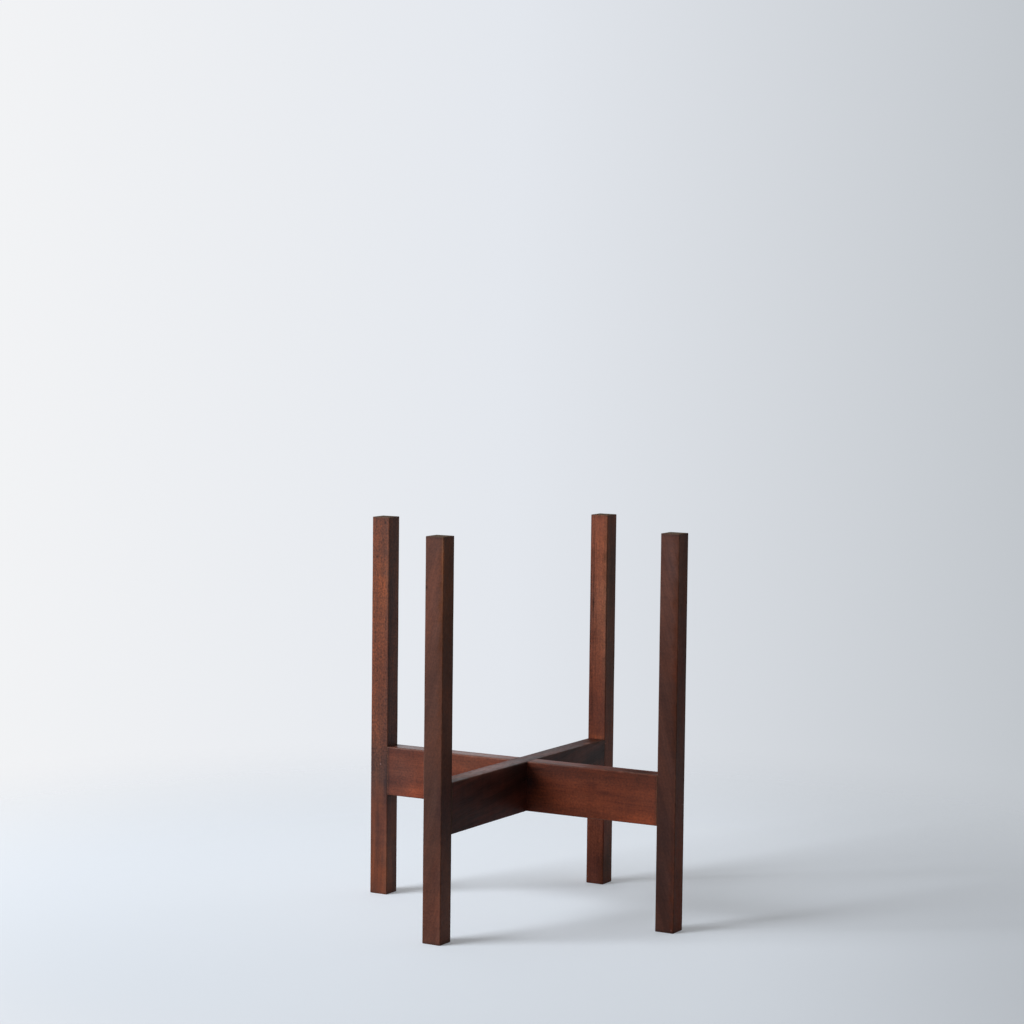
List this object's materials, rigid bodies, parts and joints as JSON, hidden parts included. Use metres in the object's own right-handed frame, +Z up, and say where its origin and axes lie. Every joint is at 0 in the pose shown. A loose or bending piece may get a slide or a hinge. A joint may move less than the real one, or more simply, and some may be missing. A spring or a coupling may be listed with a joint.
{
  "type": "plant stand",
  "caption": "Open wooden plant stand: square posts joined by two crossed rails that carry a pot between the posts.",
  "frame": {"origin": "on the floor, under the middle of the crossing of the two rails", "axes": "+Z up along the posts; X along the left-right rail, the left post at -X; Y along the front-back rail, the front post at -Y"},
  "size_m": [0.35, 0.35, 0.39],
  "materials": {
    "stained_wood": "solid hardwood, red-brown walnut stain under a satin clear coat",
    "dowel_wood": "bare pale beech, fluted, glued in and out of sight"
  },
  "bodies": {
    "root": {"left_leg": "stained_wood", "front_leg": "stained_wood", "right_leg": "stained_wood", "back_leg": "stained_wood", "left_right_rail": "stained_wood", "front_back_rail": "stained_wood", "left_leg_upper_dowel": "dowel_wood", "left_leg_lower_dowel": "dowel_wood", "front_leg_upper_dowel": "dowel_wood", "front_leg_lower_dowel": "dowel_wood", "right_leg_upper_dowel": "dowel_wood", "right_leg_lower_dowel": "dowel_wood", "back_leg_upper_dowel": "dowel_wood", "back_leg_lower_dowel": "dowel_wood"}
  },
  "joints": []
}
